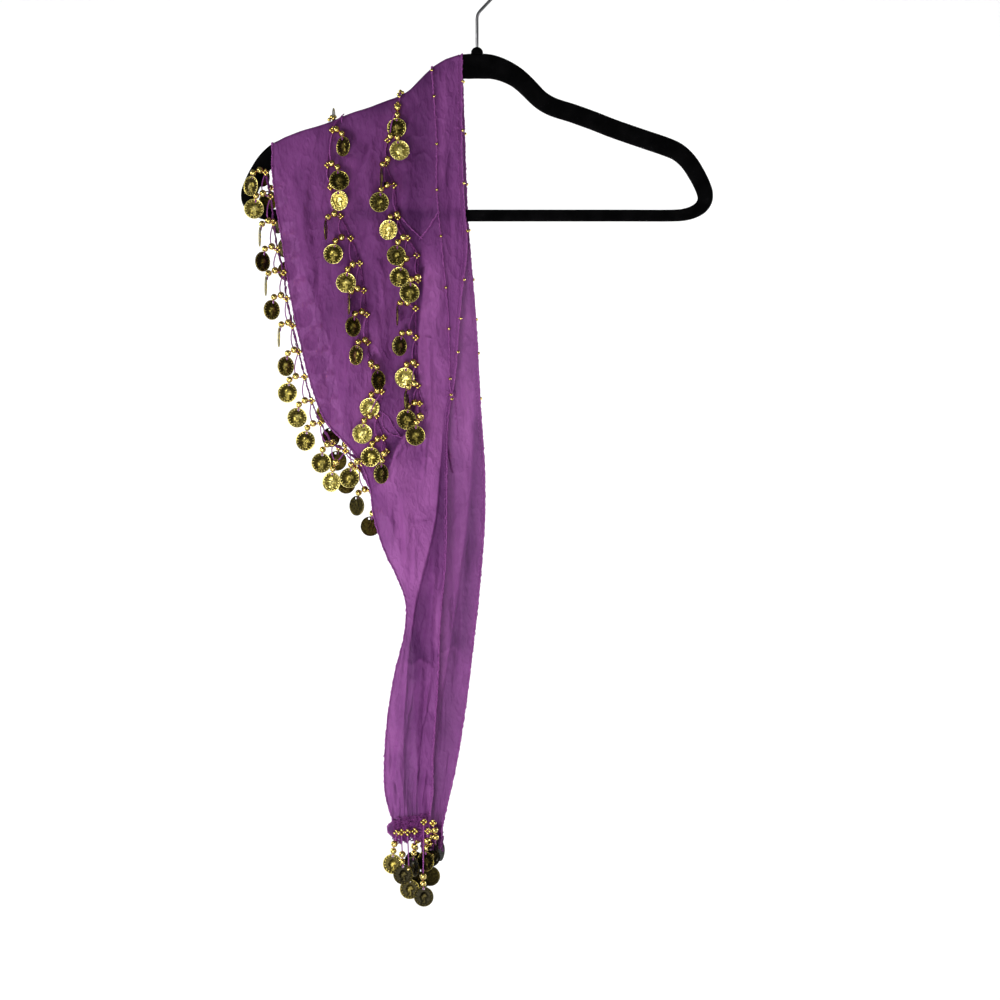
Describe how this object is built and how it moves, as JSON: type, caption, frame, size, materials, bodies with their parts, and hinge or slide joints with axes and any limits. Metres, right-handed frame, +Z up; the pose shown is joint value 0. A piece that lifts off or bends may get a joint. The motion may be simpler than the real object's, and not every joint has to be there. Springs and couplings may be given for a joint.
{
  "type": "belly dance hip scarf on a hanger",
  "caption": "Sheer hip scarf with rows of hanging coins and beads, folded over one arm of a flocked clothes hanger with a wire hook.",
  "frame": {"origin": "inner top of the hook's wire loop, where a rail carries the hanger", "axes": "+Z up, +X along the hanger to the bare arm's side, -Y is the front that shows the longer run of coins"},
  "size_m": [0.45, 0.0548, 0.9024],
  "materials": {
    "chiffon": "sheer soft chiffon",
    "coins": "antique gold, stamped, slightly worn",
    "flock": "black velvet flock",
    "wire": "bright plated steel wire"
  },
  "bodies": {
    "root": {"hanger_frame": "flock", "hanger_neck": "flock", "hanger_hook": "wire", "scarf_fold": "chiffon", "scarf_front": "chiffon", "scarf_back": "chiffon", "tie_front": "chiffon", "tie_back": "chiffon", "edge_fringe_front": "coins", "edge_fringe_back": "coins", "row_b_front": "coins", "row_b_back": "coins", "row_c_front": "coins", "row_c_back": "coins", "tie_fringe_front": "coins", "tie_fringe_back": "coins"}
  },
  "joints": []
}
